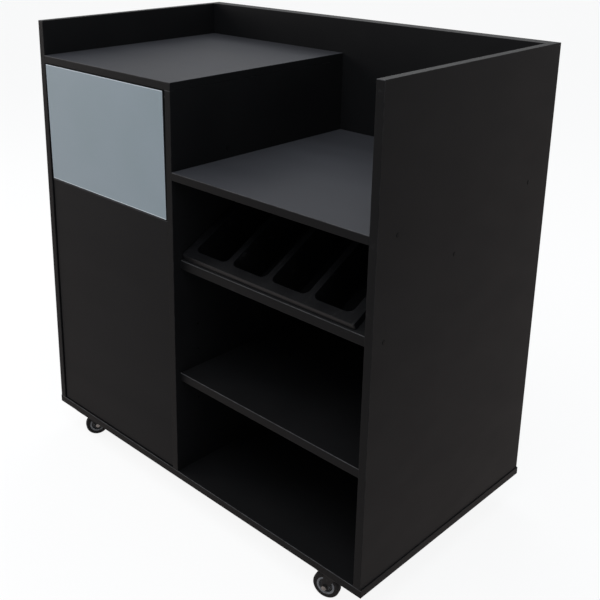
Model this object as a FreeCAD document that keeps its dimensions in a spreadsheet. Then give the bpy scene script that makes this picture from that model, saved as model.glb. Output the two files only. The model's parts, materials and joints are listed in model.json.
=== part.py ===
import FreeCAD, Part
import math
import os
import re
import Sketcher
from FreeCAD import Placement, Rotation, Vector

os.makedirs("parts", exist_ok=True)
doc = FreeCAD.newDocument("WaiterStation")

# Every independent size, in millimetres or degrees.
SIZES = {
    "board": 18.0,
    "overall_width": 1050.0,
    "carcass_depth": 600.0,
    "carcass_height": 1045.0,
    "base_jut": 2.0,
    "edging": 1.0,
    "edge_ease": 0.8,
    "gallery_rise": 84.0,
    "worktop_level": 765.0,
    "middle_shelf_level": 277.5,
    "middle_shelf_board": 20.0,
    "middle_shelf_setback": 14.0,
    "middle_shelf_gap": 1.0,
    "tray_shelf_tilt": 28.0,
    "tray_shelf_setback": 22.6,
    "tray_shelf_drop": 192.0,
    "tray_shelf_tail": 15.0,
    "tray_cutout_gap": 2.0,
    "tray_divider_gap": 1.2,
    "tray_panel_gap": 41.8,
    "tray_side_margin": 24.25,
    "tray_end_margin": 24.5,
    "tray_foot_setback": 5.0,
    "tray_rim_height": 13.0,
    "tray_rim_draft": 9.0,
    "tray_rim_corner": 6.0,
    "tray_rim_round": 1.2,
    "tray_wall": 2.5,
    "pocket_width": 99.5,
    "pocket_length": 241.0,
    "pocket_web": 16.5,
    "pocket_depth": 90.0,
    "pocket_corner": 15.0,
    "pocket_draft": 3.0,
    "pocket_lip_round": 1.2,
    "pocket_floor_round": 6.0,
    "door_board": 18.0,
    "door_setback": 3.0,
    "door_hinge_gap": 4.5,
    "door_latch_gap": 3.0,
    "door_bottom_gap": 3.0,
    "flap_board": 16.0,
    "flap_sheet": 1.5,
    "flap_height": 290.2,
    "flap_side_gap": 6.5,
    "flap_top_gap": 2.5,
    "flap_door_gap": 3.3,
    "flap_proud": 1.6,
    "flap_pivot_drop": 14.0,
    "flap_hang_angle": 0.7,
    "pivot_pin_dia": 6.0,
    "pivot_pin_sunk": 30.0,
    "pivot_pin_in_bush": 8.0,
    "running_fit": 0.05,
    "bush_dia": 10.0,
    "bush_depth": 12.0,
    "bush_flange_dia": 14.0,
    "bush_flange": 1.0,
    "lath_depth": 30.0,
    "lath_thickness": 8.0,
    "lath_gap": 0.35,
    "peg_dia": 16.0,
    "peg_length": 22.0,
    "peg_behind_pivot": 160.1,
    "peg_below_pivot": 136.5,
    "hinge_cup_dia": 35.0,
    "hinge_cup_depth": 11.5,
    "hinge_cup_inset": 22.5,
    "hinge_from_end": 100.0,
    "hinge_cup_wall": 1.2,
    "hinge_flange": 1.2,
    "hinge_flange_width": 20.0,
    "hinge_flange_height": 62.0,
    "hinge_gap": 0.5,
    "hinge_arm_length": 58.0,
    "hinge_arm_height": 14.0,
    "hinge_arm_thick": 10.0,
    "hinge_toe_length": 9.0,
    "hinge_plate_length": 44.0,
    "hinge_plate_height": 48.0,
    "hinge_plate_thick": 4.0,
    "latch_rise": 304.0,
    "latch_width": 24.0,
    "latch_length": 60.0,
    "latch_tall": 20.0,
    "latch_setback": 11.0,
    "latch_ear_length": 20.0,
    "latch_ear_reach": 12.0,
    "latch_ear_thick": 3.0,
    "plunger_dia": 8.0,
    "plunger_length": 47.0,
    "plunger_gap": 0.3,
    "keeper_dia": 14.0,
    "keeper_thickness": 1.5,
    "pin_hole_dia": 5.0,
    "pin_hole_depth": 10.0,
    "pin_hole_pitch": 64.0,
    "pin_tongue": 8.0,
    "pin_row_front": 70.0,
    "pin_row_rear": 64.0,
    "castor_inset_side": 91.0,
    "castor_front_gap": 2.0,
    "castor_rear_gap": 5.0,
    "castor_plate": 58.0,
    "castor_screw_inset": 6.0,
    "castor_plate_thick": 2.5,
    "castor_trail": 16.0,
    "wheel_dia": 60.0,
    "wheel_width": 18.0,
    "wheel_core_dia": 40.0,
    "wheel_hub_dia": 18.0,
    "tyre_shoulder": 5.0,
    "castor_axle_dia": 6.0,
    "castor_gap": 0.3,
    "king_pin_dia": 8.0,
    "crown_dia": 43.0,
    "fork_board": 2.2,
    "fork_side_gap": 2.5,
    "fork_end_radius": 9.0,
    "fork_top_rear": 13.0,
    "fork_top_front": 17.0,
    "crown_gap": 2.8,
    "crown_thick": 2.5,
    "raceway_height": 7.2,
    "yaw_front_left": 62.0,
    "yaw_front_right": 196.0,
    "yaw_rear_left": 204.0,
    "yaw_rear_right": 230.0,
    "connector_length": 50.0,
    "connector_head_dia": 10.0,
    "connector_shank_dia": 7.0,
    "shelf_fix_front": 61.0,
    "shelf_fix_rear": 45.0,
    "slope_fix_front": 10.0,
    "slope_fix_rear": 55.0,
    "cover_fix_low": 97.0,
    "cover_fix_high": 190.0,
    "base_fix_front": 110.0,
    "base_fix_rear": 49.0,
    "lath_fix_inset": 47.0,
    "cap_dia": 10.0,
    "cap_thickness": 0.6,
    "dowel_dia": 8.0,
    "dowel_length": 32.0,
    "wood_screw_length": 16.0,
    "wood_screw_dia": 3.5,
    "castor_screw_length": 12.0,
    "castor_screw_dia": 4.5,
}

# Places that follow from the sizes: x to the right, y to the rear, z up from the floor.
PLACES = {
    "right_out": "overall_width / 2",
    "left_out": "-right_out",
    "left_inner": "left_out + board",
    "right_inner": "right_out - board",
    "pocket_pitch": "pocket_width + pocket_web",
    "tray_width": "3 * pocket_pitch + pocket_width + 2 * tray_side_margin",
    "tray_length": "pocket_length + 2 * tray_end_margin",
    "divider_right": "right_inner - tray_panel_gap - tray_width - tray_divider_gap",
    "divider_left": "divider_right - board",
    "front_plane": "-carcass_depth / 2",
    "rear_plane": "carcass_depth / 2",
    "cover_front": "rear_plane - board",
    "back_front": "cover_front - board",
    "board_front": "front_plane + edging",
    "crown_top": "wheel_dia + crown_gap + crown_thick",
    "castor_height": "crown_top + raceway_height + castor_plate_thick",
    "base_top": "castor_height + board",
    "panel_top": "castor_height + carcass_height",
    "raised_top_z": "panel_top - gallery_rise",
    "raised_under": "raised_top_z - board",
    "worktop_z": "castor_height + worktop_level",
    "worktop_under": "worktop_z - board",
    "middle_z": "castor_height + middle_shelf_level",
    "middle_under": "middle_z - middle_shelf_board",
    "middle_front": "front_plane + middle_shelf_setback",
    "slope_y": "front_plane + tray_shelf_setback",
    "slope_z": "worktop_under - tray_shelf_drop",
    "tray_shelf_length": "tray_foot_setback + tray_length + tray_shelf_tail",
    "tray_centre": "divider_right + tray_divider_gap + tray_width / 2",
    "bay_centre": "(divider_right + right_inner) / 2",
    "flap_top": "raised_under - flap_top_gap",
    "flap_bottom": "flap_top - flap_height",
    "pivot_z": "flap_top - flap_pivot_drop",
    "pivot_y": "front_plane - flap_proud + flap_sheet + flap_board / 2",
    "flap_left": "left_inner + flap_side_gap",
    "flap_right": "divider_left - flap_side_gap",
    "door_left": "left_inner + door_hinge_gap",
    "door_right": "divider_left - door_latch_gap",
    "door_bottom": "base_top + door_bottom_gap",
    "door_top": "flap_bottom - flap_door_gap",
    "door_front": "front_plane + door_setback",
    "door_rear": "door_front + door_board",
    "pin_level": "middle_under - 2",
}


def make_sheet(name, entries):
    sheet = doc.addObject("Spreadsheet::Sheet", name)
    for row, (alias, content) in enumerate(entries.items(), start=1):
        sheet.set("A%d" % row, alias)
        sheet.set("B%d" % row, content)
        sheet.setAlias("B%d" % row, alias)
    return sheet


def bound(text):
    def owner(match):
        word = match.group(0)
        if word in SIZES:
            return "Sizes." + word
        if word in PLACES:
            return "Places." + word
        return word
    return re.sub(r"[a-z_]+", owner, text)


sizes = make_sheet("Sizes", {alias: repr(number) for alias, number in SIZES.items()})
doc.recompute()
own_places = {}
for alias, text in PLACES.items():
    own_places[alias] = "=" + bound(text).replace("Places.", "")
places = make_sheet("Places", own_places)
doc.recompute()


def val(alias):
    sheet = sizes if alias in SIZES else places
    return float(getattr(sheet, alias))


NODES = {}


def keep(node, thing):
    thing.Label = node
    NODES[node] = thing
    return thing


def box(label, x, y, z):
    """Box from pairs of expressions."""
    block = doc.addObject("Part::Box", label)
    for side, (low, high) in zip(("Length", "Width", "Height"), (x, y, z)):
        block.setExpression(side, bound("(%s) - (%s)" % (high, low)))
    for axis, (low, high) in zip("xyz", (x, y, z)):
        block.setExpression("Placement.Base." + axis, bound(low))
    doc.recompute()
    return block


SIDES = (("left", "right"), ("front", "rear"), ("bottom", "top"))


def limits(bb):
    return ((bb.XMin, bb.XMax), (bb.YMin, bb.YMax), (bb.ZMin, bb.ZMax))


def on_side(edge, whole, side):
    for pair, reach, span in zip(SIDES, limits(whole), limits(edge.BoundBox)):
        if side in pair:
            plane = reach[pair.index(side)]
            return max(abs(span[0] - plane), abs(span[-1] - plane)) < 1e-6


def eased(base, label, pairs, radius=None):
    """Rounds the box edges named by the two sides that meet there."""
    radius = val("edge_ease") if radius is None else radius
    whole = base.Shape.BoundBox
    chosen = []
    for number, edge in enumerate(base.Shape.Edges, start=1):
        for pair in pairs.split():
            first, second = pair.split("-")
            if on_side(edge, whole, first) and on_side(edge, whole, second):
                chosen.append((number, radius, radius))
    rounded = doc.addObject("Part::Fillet", label)
    rounded.Base = base
    rounded.Edges = chosen
    doc.recompute()
    return rounded


def compound(label, things):
    gathered = doc.addObject("Part::Compound", label)
    gathered.Links = things
    doc.recompute()
    return gathered


def cut(label, base, tools):
    tool = tools[0] if len(tools) == 1 else compound(label + "_tools", tools)
    made = doc.addObject("Part::Cut", label)
    made.Base = base
    made.Tool = tool
    doc.recompute()
    return made


def fuse(label, things):
    made = doc.addObject("Part::MultiFuse", label)
    made.Shapes = things
    made.Refine = True
    doc.recompute()
    return made


def rod(label, radius, length, at, along=(0, 0, 1)):
    made = doc.addObject("Part::Cylinder", label)
    made.Radius = radius
    made.Height = length
    made.Placement = Placement(Vector(*at), Rotation(Vector(0, 0, 1), Vector(*along)))
    doc.recompute()
    return made


def turned(label, outline):
    """Solid of revolution about z from (radius, height) points."""
    polygon = doc.addObject("Part::Polygon", label + "_outline")
    polygon.Nodes = [Vector(radius, 0, height) for radius, height in outline]
    polygon.Close = True
    solid = doc.addObject("Part::Revolution", label)
    solid.Source = polygon
    solid.Axis = Vector(0, 0, 1)
    solid.Base = Vector(0, 0, 0)
    solid.Angle = 360
    solid.Solid = True
    doc.recompute()
    return solid


def facing(at, toward):
    """Placement that turns +z of a part to the given direction."""
    return Placement(Vector(*at), Rotation(Vector(0, 0, 1), Vector(*toward)))


def group(node, master, spots):
    made = doc.addObject("Part::Feature", node)
    solids = []
    for spot in spots:
        for solid in master.Shape.Solids:
            solids.append(solid.transformed(spot.toMatrix(), True))
    made.Shape = Part.makeCompound(solids)
    return keep(node, made)


def space_for(label, master, spots):
    """Room that the boards leave for a group, without its sockets and bores."""
    made = doc.addObject("Part::Feature", label)
    solids = [master.Shape.transformed(spot.toMatrix(), True) for spot in spots]
    made.Shape = Part.makeCompound(solids)
    return made


def placed(node, master, spot):
    made = doc.addObject("Part::Feature", node)
    made.Shape = master.Shape.copy()
    made.Placement = spot
    return keep(node, made)


# The sloping frame: x as before, y up the slope, z square to the shelf top.
SLOPE = math.radians(val("tray_shelf_tilt"))
slope = Placement(Vector(val("tray_centre"), val("slope_y"), val("slope_z")),
                  Rotation(Vector(1, 0, 0), val("tray_shelf_tilt")))


def on_slope(x, along, up):
    spot = slope.multVec(Vector(0, along, up))
    return (x, spot.y, spot.z)


# Fastener masters, heads facing +z.
head = val("connector_head_dia") / 2
shank = val("connector_shank_dia") / 2
reach = val("connector_length")
connector_body = turned("connector_body", [
    (0, 0), (head, 0), (head, -1.2), (shank, -3), (shank, -14), (shank - 0.8, -15),
    (shank - 0.8, -reach + 4), (1, -reach), (0, -reach)])
socket = doc.addObject("Part::Prism", "connector_socket")
socket.Polygon = 6
socket.Circumradius = 2.3
socket.Height = 3
socket.Placement = Placement(Vector(0, 0, -2.5), Rotation())
doc.recompute()
connector = cut("connector", connector_body, [socket])

cap_r = val("cap_dia") / 2
cap_h = val("cap_thickness")
cap = turned("cap", [
    (0, -2), (1.6, -2), (1.6, 0), (cap_r, 0), (cap_r, cap_h - 0.35), (cap_r - 0.7, cap_h), (0, cap_h)])

wood_r = val("wood_screw_dia") / 2
wood_len = val("wood_screw_length")
wood_body = turned("wood_screw_body", [
    (0, 0), (2 * wood_r, 0), (2 * wood_r, -0.3), (wood_r, -2.2), (wood_r, -wood_len + 3), (0, -wood_len)])
slot_a = doc.addObject("Part::Box", "slot_a")
slot_b = doc.addObject("Part::Box", "slot_b")
for slot, (long_x, long_y) in ((slot_a, (3.6, 0.7)), (slot_b, (0.7, 3.6))):
    slot.Length = long_x
    slot.Width = long_y
    slot.Height = 2
    slot.Placement = Placement(Vector(-long_x / 2, -long_y / 2, -1.1), Rotation())
cross = fuse("cross_slot", [slot_a, slot_b])
wood_screw = cut("wood_screw", wood_body, [cross])

dowel_r = val("dowel_dia") / 2
dowel_half = val("dowel_length") / 2
dowel = turned("dowel", [
    (0, -dowel_half), (dowel_r - 1, -dowel_half), (dowel_r, -dowel_half + 1), (dowel_r, dowel_half - 1),
    (dowel_r - 1, dowel_half), (0, dowel_half)])

plate_r = val("castor_screw_dia") / 2
castor_screw = turned("castor_screw", [
    (0, 2.4), (2.2, 2.3), (3.6, 1.4), (4, 0), (plate_r, 0), (plate_r, -val("castor_screw_length") + 2.5),
    (0, -val("castor_screw_length"))])

# Connector screws and their caps.
fix_front = val("front_plane") + val("shelf_fix_front")
fix_rear = val("back_front") - val("shelf_fix_rear")
worktop_mid = val("worktop_z") - val("board") / 2
raised_mid = val("raised_top_z") - val("board") / 2
side_mid = val("right_out") - val("board") / 2
divider_mid = val("divider_left") + val("board") / 2
slope_front = on_slope(0, val("slope_fix_front"), -val("board") / 2)
slope_rear = on_slope(0, val("tray_shelf_length") - val("slope_fix_rear"), -val("board") / 2)
slope_end = on_slope(0, val("tray_shelf_length") - val("tray_shelf_tail"), -val("board") / 2)
cover_low = val("base_top") + val("cover_fix_low")
cover_high = val("panel_top") - val("cover_fix_high")
base_front = val("front_plane") + val("base_fix_front")
base_rear = val("back_front") - val("base_fix_rear")
base_mid = (base_front + base_rear) / 2

capped = []
for y in (fix_front, fix_rear):
    capped.append(facing((val("right_out"), y, worktop_mid), (1, 0, 0)))
    capped.append(facing((val("left_out"), y, raised_mid), (-1, 0, 0)))
for spot in (slope_front, slope_rear):
    capped.append(facing((val("right_out"), spot[1], spot[2]), (1, 0, 0)))
for x in (-side_mid, side_mid):
    for z in (cover_low, (cover_low + cover_high) / 2, cover_high):
        capped.append(facing((x, val("rear_plane"), z), (0, 1, 0)))
bare = []
for y in (fix_front, fix_rear):
    bare.append(facing((val("divider_left"), y, worktop_mid), (-1, 0, 0)))
for spot in (slope_front, slope_end):
    bare.append(facing((val("divider_left"), spot[1], spot[2]), (-1, 0, 0)))
for x in (-side_mid, side_mid, divider_mid):
    for y in (base_front, base_mid, base_rear):
        bare.append(facing((x, y, val("castor_height")), (0, 0, -1)))
group("connector_screws", connector, capped + bare)
connector_space = space_for("connector_space", connector_body, capped + bare)

# Pegs that limit the inward swing of the flap, each held by a screw from the far side of its panel.
peg_y = val("pivot_y") + val("peg_behind_pivot")
peg_z = val("pivot_z") - val("peg_below_pivot")
peg_r = val("peg_dia") / 2
peg_long = val("peg_length")
peg_blank = turned("peg_blank", [
    (0, 0), (peg_r, 0), (peg_r, peg_long - 2), (peg_r - 2, peg_long), (0, peg_long)])
peg_screw_r = 2.5
peg_screw_len = val("board") + 14
peg_screw = turned("peg_screw", [
    (0, 0), (5, 0), (5, -1.2), (peg_screw_r, -3.6), (peg_screw_r, -peg_screw_len + 2), (0, -peg_screw_len)])
peg_left = facing((val("left_inner"), peg_y, peg_z), (1, 0, 0))
peg_right = facing((val("divider_left"), peg_y, peg_z), (-1, 0, 0))
peg_screw_left = facing((val("left_out"), peg_y, peg_z), (-1, 0, 0))
peg_screw_right = facing((val("divider_right"), peg_y, peg_z), (1, 0, 0))
flap_stop_screws = group("flap_stop_screws", peg_screw, [peg_screw_left, peg_screw_right])
peg_solids = doc.addObject("Part::Feature", "peg_solids")
peg_solids.Shape = Part.makeCompound([
    peg_blank.Shape.transformed(peg_left.toMatrix(), True),
    peg_blank.Shape.transformed(peg_right.toMatrix(), True)])
keep("flap_stop_pegs", cut("flap_stop_pegs", peg_solids, [flap_stop_screws]))

group("screw_caps", cap, capped)
peg_cap = turned("peg_cap", [
    (0, 0), (6, 0), (6, cap_h - 0.3), (5.3, cap_h), (0, cap_h)])
group("flap_stop_screw_caps", peg_cap, [peg_screw_left, peg_screw_right])

# Dowels.
dowel_spots = []
for y in ((base_front + base_mid) / 2, (base_mid + base_rear) / 2):
    dowel_spots.append(facing((divider_mid, y, val("raised_under") - 4), (0, 0, 1)))
    for x in (-side_mid, side_mid, divider_mid):
        dowel_spots.append(facing((x, y, val("base_top") + 4), (0, 0, 1)))
dowels = group("carcass_dowels", dowel, dowel_spots)

# Flap pivot bushes, seen from the opening side: flange outside, body in the panel.
bush_r = val("bush_dia") / 2
bore_r = val("pivot_pin_dia") / 2 + val("running_fit")
flange_r = val("bush_flange_dia") / 2
bush = turned("bush", [
    (bore_r, val("bush_flange")), (flange_r, val("bush_flange")), (flange_r, 0), (bush_r, 0),
    (bush_r, -val("bush_depth")), (0, -val("bush_depth")), (0, -val("bush_depth") + 1),
    (bore_r, -val("bush_depth") + 1)])
bush_left = facing((val("left_inner"), val("pivot_y"), val("pivot_z")), (1, 0, 0))
bush_right = facing((val("divider_left"), val("pivot_y"), val("pivot_z")), (-1, 0, 0))
group("flap_pivot_bushes", bush, [bush_left, bush_right])
bush_plug = turned("bush_plug", [(0, 0), (bush_r, 0), (bush_r, -val("bush_depth")), (0, -val("bush_depth"))])
bush_space = space_for("bush_space", bush_plug, [bush_left, bush_right])

# Shelf pins: shank in the panel, flat tongue under the shelf.
pin_z = val("pin_level")
pin_ys = (val("front_plane") + val("pin_row_front"), val("back_front") - val("pin_row_rear"))
shank_rod = rod("pin_shank", val("pin_hole_dia") / 2, val("pin_hole_depth") - 1, (0, 0, 0), (0, 0, -1))
tongue = doc.addObject("Part::Box", "pin_tongue")
tongue.Length = 6
tongue.Width = 4
tongue.Height = val("pin_tongue")
tongue.Placement = Placement(Vector(-3, -2, 0), Rotation())
doc.recompute()
pin_master = fuse("pin_master", [shank_rod, tongue])


def across(at, toward_x):
    """Placement with +z of the part along x and its y kept upright."""
    if toward_x > 0:
        turn = Rotation(Vector(0, 1, 0), Vector(0, 0, 1), Vector(1, 0, 0), "ZXY")
    else:
        turn = Rotation(Vector(0, -1, 0), Vector(0, 0, 1), Vector(-1, 0, 0), "ZXY")
    return Placement(Vector(*at), turn)


pin_spots = []
for y in pin_ys:
    pin_spots.append(across((val("divider_right"), y, pin_z), 1))
    pin_spots.append(across((val("right_inner"), y, pin_z), -1))
shelf_pins = group("shelf_pins", pin_master, pin_spots)

divider_holes = []
right_holes = []
for y in pin_ys:
    for step in (-1, 0, 1, 2):
        z = pin_z + step * val("pin_hole_pitch")
        count = len(divider_holes)
        divider_holes.append(rod("divider_hole_%d" % count, val("pin_hole_dia") / 2, val("pin_hole_depth"),
                                 (val("divider_right"), y, z), (-1, 0, 0)))
        right_holes.append(rod("right_hole_%d" % count, val("pin_hole_dia") / 2, val("pin_hole_depth"),
                               (val("right_inner"), y, z), (1, 0, 0)))

# Door hinges: plates and arms stay on the side panel, cups turn with the door.
hinge_zs = (val("door_bottom") + val("hinge_from_end"), val("door_top") - val("hinge_from_end"))
cup_x = val("door_left") + val("hinge_cup_inset")
cup_r = val("hinge_cup_dia") / 2
cup_deep = val("hinge_cup_depth")
cup_wall = val("hinge_cup_wall")
arm_front = val("door_rear") + val("hinge_flange") + val("hinge_gap")
plate_front = arm_front + val("hinge_toe_length") + 1
cup_solids = []
cup_plugs = []
arm_solids = []
plate_solids = []
flange_low = cup_x - val("hinge_flange_width") / 4
for count, z in enumerate(hinge_zs):
    cup_outer = rod("cup_outer_%d" % count, cup_r, cup_deep, (cup_x, val("door_rear"), z), (0, -1, 0))
    cup_plugs.append(rod("cup_plug_%d" % count, cup_r, cup_deep, (cup_x, val("door_rear"), z), (0, -1, 0)))
    cup_inner = rod("cup_inner_%d" % count, cup_r - cup_wall, cup_deep - cup_wall + 3,
                    (cup_x, val("door_rear") + 3, z), (0, -1, 0))
    collar = rod("cup_collar_%d" % count, cup_r + cup_wall, val("hinge_flange"),
                 (cup_x, val("door_rear"), z), (0, 1, 0))
    flange = box("cup_flange_%d" % count,
                 (repr(flange_low), "%r + hinge_flange_width" % flange_low),
                 ("door_rear", "door_rear + hinge_flange"),
                 ("%r - hinge_flange_height / 2" % z, "%r + hinge_flange_height / 2" % z))
    cup_solids.append(cut("cup_%d" % count, fuse("cup_blank_%d" % count, [cup_outer, collar, flange]),
                          [cup_inner]))
    arm_z = ("%r - hinge_arm_height / 2" % z, "%r + hinge_arm_height / 2" % z)
    arm_x = "left_inner + hinge_plate_thick"
    arm_long = box("arm_long_%d" % count, (arm_x, arm_x + " + hinge_arm_thick"),
                   (repr(arm_front), "%r + hinge_arm_length" % arm_front), arm_z)
    arm_toe = box("arm_toe_%d" % count, (arm_x, repr(cup_x + 8)),
                  (repr(arm_front), "%r + hinge_toe_length" % arm_front), arm_z)
    arm_blank = fuse("arm_blank_%d" % count, [arm_long, arm_toe])
    arm_edges = "top-right bottom-right top-rear bottom-rear"
    arm_solids.append(eased(arm_blank, "arm_%d" % count, arm_edges, 1.5))
    plate_blank = box("plate_blank_%d" % count,
                      ("left_inner", "left_inner + hinge_plate_thick"),
                      (repr(plate_front), "%r + hinge_plate_length" % plate_front),
                      ("%r - hinge_plate_height / 2" % z, "%r + hinge_plate_height / 2" % z))
    plate_edges = "top-right bottom-right front-right rear-right"
    plate_solids.append(eased(plate_blank, "plate_%d" % count, plate_edges, 1.2))
keep("hinge_arms", compound("hinge_arms", arm_solids))

# Push latch on the divider: housing, plunger, strike disc on the door.
latch_x = val("divider_left") - val("latch_width") / 2 - 2
latch_y = val("door_rear") + val("latch_setback")
latch_z = val("door_bottom") + val("latch_rise")
keeper_face = val("door_rear") + val("keeper_thickness")
tip_y = keeper_face + val("plunger_gap")
plunger_blank = turned("plunger_blank", [
    (0, 0), (val("plunger_dia") / 2 - 1, 0), (val("plunger_dia") / 2, 1),
    (val("plunger_dia") / 2, val("plunger_length")), (0, val("plunger_length"))])
placed("push_latch_plunger", plunger_blank, facing((latch_x, tip_y, latch_z), (0, 1, 0)))
latch_bore = rod("latch_bore", val("plunger_dia") / 2 + val("running_fit"), 48,
                 (latch_x, latch_y - 2, latch_z), (0, 1, 0))
LATCH_LOW = "door_bottom + latch_rise - latch_tall / 2"
LATCH_HIGH = "door_bottom + latch_rise + latch_tall / 2"
LATCH_MID = "door_rear + latch_setback + latch_length / 2"
latch_block = box("latch_block",
                  ("divider_left - latch_width", "divider_left"),
                  ("door_rear + latch_setback", "door_rear + latch_setback + latch_length"),
                  (LATCH_LOW, LATCH_HIGH))
latch_shell = eased(latch_block, "latch_shell", "top-left bottom-left front-left rear-left", 2.0)
latch_ear = box("latch_ear",
                ("divider_left - latch_ear_thick", "divider_left"),
                (LATCH_MID + " - latch_ear_length / 2", LATCH_MID + " + latch_ear_length / 2"),
                (LATCH_LOW + " - latch_ear_reach", LATCH_HIGH + " + latch_ear_reach"))
latch_whole = fuse("latch_whole", [latch_shell, latch_ear])

# Stop lath under the raised top, behind the top edge of the flap.
lath_front = "pivot_y + flap_board / 2 + lath_gap"
lath_blank = box("lath_blank",
                 ("left_inner", "divider_left"),
                 (lath_front, lath_front + " + lath_depth"),
                 ("raised_under - lath_thickness", "raised_under"))

# Small wood screws, all alike.
small = []
plate_face = val("left_inner") + val("hinge_plate_thick")
for z in hinge_zs:
    for side in (-1, 1):
        screw_z = z + side * val("hinge_plate_height") / 3
        small.append(facing((plate_face, arm_front + 26, screw_z), (1, 0, 0)))
latch_mid = latch_y + val("latch_length") / 2
for side in (-1, 1):
    screw_z = latch_z + side * (val("latch_tall") + val("latch_ear_reach")) / 2
    small.append(facing((val("divider_left") - val("latch_ear_thick"), latch_mid, screw_z), (-1, 0, 0)))
lath_mid = val("pivot_y") + val("flap_board") / 2 + val("lath_gap") + val("lath_depth") / 2
lath_low = val("left_inner") + val("lath_fix_inset")
lath_high = val("divider_left") - val("lath_fix_inset")
for x in (lath_low, (lath_low + lath_high) / 2, lath_high):
    small.append(facing((x, lath_mid, val("raised_under") - val("lath_thickness")), (0, 0, -1)))
group("wood_screws", wood_screw, small)
wood_space = space_for("wood_space", wood_body, small)
keep("hinge_mounting_plates", cut("hinge_mounting_plates", compound("plates", plate_solids), [wood_space]))
keep("push_latch_housing", cut("push_latch_housing", latch_whole, [latch_bore, wood_space]))
keep("flap_stop_lath", cut("flap_stop_lath", lath_blank, [wood_space]))

# Door screws and strike disc.
cup_screw_spots = []
flange_face = val("door_rear") + val("hinge_flange")
for z in hinge_zs:
    for side in (-1, 1):
        screw_z = z + side * (val("hinge_flange_height") / 2 - 7)
        cup_screw_spots.append(facing((cup_x + 9.5, flange_face, screw_z), (0, 1, 0)))
group("hinge_cup_screws", wood_screw, cup_screw_spots)
cup_screw_space = space_for("cup_screw_space", wood_body, cup_screw_spots)
keep("hinge_cups", cut("hinge_cups", compound("cups", cup_solids), [cup_screw_space]))
cup_space = compound("cup_space", cup_plugs)
keeper_r = val("keeper_dia") / 2
keeper_thick = val("keeper_thickness")
keeper_blank = turned("keeper_blank", [
    (0, keeper_thick), (keeper_r - 0.5, keeper_thick), (keeper_r, keeper_thick - 0.5), (keeper_r, 0),
    (2, 0), (2, -8), (0, -8)])
keeper = placed("latch_strike_disc", keeper_blank, facing((latch_x, val("door_rear"), latch_z), (0, 1, 0)))

# Castor plates with their raceway cups.
swivel_x = val("right_out") - val("castor_inset_side")
swivel_front = val("front_plane") + val("castor_plate") / 2 + val("castor_front_gap")
swivel_rear = val("rear_plane") - val("castor_plate") / 2 - val("castor_rear_gap")
castors = {
    "front_left": (-swivel_x, swivel_front, val("yaw_front_left")),
    "front_right": (swivel_x, swivel_front, val("yaw_front_right")),
    "rear_left": (-swivel_x, swivel_rear, val("yaw_rear_left")),
    "rear_right": (swivel_x, swivel_rear, val("yaw_rear_right")),
}
plate_half = val("castor_plate") / 2
top_z = val("castor_height")
under_plate = top_z - val("castor_plate_thick")
king_r = val("king_pin_dia") / 2
screw_reach = plate_half - val("castor_screw_inset")
crown_top = val("crown_top")
crown_under = crown_top - val("crown_thick")
plate_square = doc.addObject("Part::Box", "castor_square")
plate_square.Length = val("castor_plate")
plate_square.Width = val("castor_plate")
plate_square.Height = val("castor_plate_thick")
plate_square.Placement = Placement(Vector(-plate_half, -plate_half, under_plate), Rotation())
doc.recompute()
plate_round = eased(plate_square, "castor_plate_round", "left-front left-rear right-front right-rear", 6.0)
crown_r = val("crown_dia") / 2
race_low = crown_top + val("castor_gap")
king_bore = king_r + val("running_fit")
raceway = turned("raceway", [
    (king_bore, race_low), (crown_r - 3.5, race_low), (crown_r - 1.5, race_low + 2),
    (crown_r + 0.5, under_plate + 0.5), (king_bore, under_plate + 0.5)])
plate_bore = rod("plate_bore", king_bore, 6, (0, 0, top_z - 5), (0, 0, 1))
plate_whole = cut("plate_whole", fuse("plate_and_raceway", [plate_round, raceway]), [plate_bore])
plate_spots = []
castor_screw_spots = []
for x, y, yaw in castors.values():
    plate_spots.append(Placement(Vector(x, y, 0), Rotation()))
    for screw_x in (x - screw_reach, x + screw_reach):
        for screw_y in (y - screw_reach, y + screw_reach):
            castor_screw_spots.append(facing((screw_x, screw_y, under_plate), (0, 0, -1)))
castor_screws = group("castor_screws", castor_screw, castor_screw_spots)
plates_only = doc.addObject("Part::Feature", "castor_plates_only")
plates_only.Shape = Part.makeCompound([
    plate_whole.Shape.Solids[0].transformed(spot.toMatrix(), True) for spot in plate_spots])
keep("castor_plates", cut("castor_plates", plates_only, [castor_screws]))

# One castor's turning parts, trail along +x.
trail = val("castor_trail")
wheel_r = val("wheel_dia") / 2
half_w = val("wheel_width") / 2
axle_r = val("castor_axle_dia") / 2
cheek_in = half_w + val("fork_side_gap")
cheek_thick = val("fork_board")
fork_end = val("fork_end_radius")
crown = turned("fork_crown", [
    (0, crown_under), (crown_r - 1.5, crown_under), (crown_r, crown_top - 1), (crown_r, crown_top),
    (king_r, crown_top), (king_r, top_z - 0.8), (0, top_z - 0.8)])
cheeks = []
for count, low in enumerate((cheek_in, -cheek_in - cheek_thick)):
    outline = doc.addObject("Part::Polygon", "cheek_outline_%d" % count)
    points = [(-val("fork_top_rear"), crown_top - 0.6), (val("fork_top_front"), crown_top - 0.6)]
    for step in range(9):
        angle = math.radians(20 - step * 27.5)
        points.append((trail + fork_end * math.cos(angle), wheel_r + fork_end * math.sin(angle)))
    outline.Nodes = [Vector(x, low, z) for x, z in points]
    outline.Close = True
    cheek = doc.addObject("Part::Extrusion", "cheek_%d" % count)
    cheek.Base = outline
    cheek.DirMode = "Custom"
    cheek.Dir = Vector(0, 1, 0)
    cheek.LengthFwd = cheek_thick
    cheek.Solid = True
    doc.recompute()
    cheeks.append(cheek)
axle_shank = 2 * (cheek_in + cheek_thick) + 1.5
axle_body = turned("axle_body", [
    (0, -3), (4.6, -3), (5.5, -2), (5.5, 0), (axle_r, 0), (axle_r, axle_shank), (0, axle_shank)])
nut = doc.addObject("Part::Prism", "axle_nut")
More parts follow.
